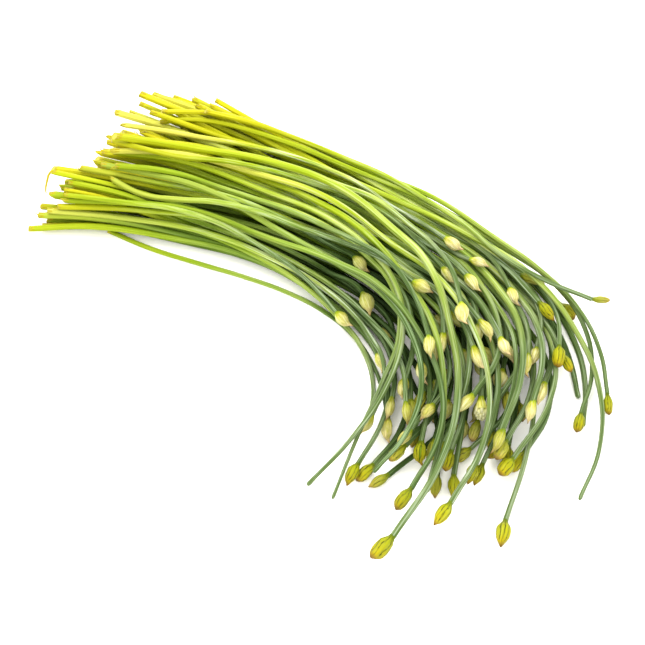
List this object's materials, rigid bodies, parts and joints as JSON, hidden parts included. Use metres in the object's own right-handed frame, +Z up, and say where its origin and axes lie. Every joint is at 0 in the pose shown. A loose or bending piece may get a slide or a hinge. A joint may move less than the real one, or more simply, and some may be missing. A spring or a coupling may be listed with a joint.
{
  "type": "garlic chive flower bunch",
  "caption": "Loose bunch of cut garlic chive flower scapes lying in a heap, fanned out at the cut ends and curving round to closed buds.",
  "frame": {"origin": "Under the middle of the bunch's outline, on the surface that it lies on.", "axes": "+X runs along the bunch from its cut ends to its buds, +Y across it to its outer edge, and +Z up from the surface."},
  "size_m": [0.36, 0.3322, 0.0484],
  "materials": {
    "scape": "fresh plant skin with a soft waxy sheen"
  },
  "bodies": {
    "root": {"stray_scape_01": "scape", "three_scapes_01": "scape", "three_scapes_02": "scape", "three_scapes_03": "scape", "three_scapes_04": "scape", "three_scapes_05": "scape", "three_scapes_06": "scape", "three_scapes_07": "scape", "three_scapes_08": "scape", "three_scapes_09": "scape", "three_scapes_10": "scape", "three_scapes_11": "scape", "three_scapes_12": "scape", "three_scapes_13": "scape", "three_scapes_14": "scape", "two_scapes_01": "scape", "two_scapes_02": "scape", "two_scapes_03": "scape", "two_scapes_04": "scape", "two_scapes_05": "scape", "two_scapes_06": "scape", "two_scapes_07": "scape", "two_scapes_08": "scape", "two_scapes_09": "scape", "two_scapes_10": "scape", "two_scapes_11": "scape", "two_scapes_12": "scape", "two_scapes_13": "scape", "two_scapes_14": "scape", "scape_01": "scape", "scape_02": "scape", "scape_03": "scape", "scape_04": "scape", "scape_05": "scape", "scape_06": "scape", "scape_07": "scape", "scape_08": "scape", "scape_09": "scape", "scape_10": "scape", "scape_11": "scape", "scape_12": "scape", "scape_13": "scape", "scape_14": "scape", "stray_scape_02": "scape", "stray_scape_03": "scape", "stray_scape_04": "scape", "stray_scape_05": "scape", "stray_scape_06": "scape", "stray_scape_07": "scape", "stray_scape_08": "scape", "stray_scape_09": "scape", "stray_scape_10": "scape", "stray_scape_11": "scape", "stray_scape_12": "scape", "stray_scape_13": "scape", "stray_scape_14": "scape", "stray_scape_15": "scape", "stray_scape_16": "scape", "stray_scape_17": "scape", "stray_scape_18": "scape"}
  },
  "joints": []
}
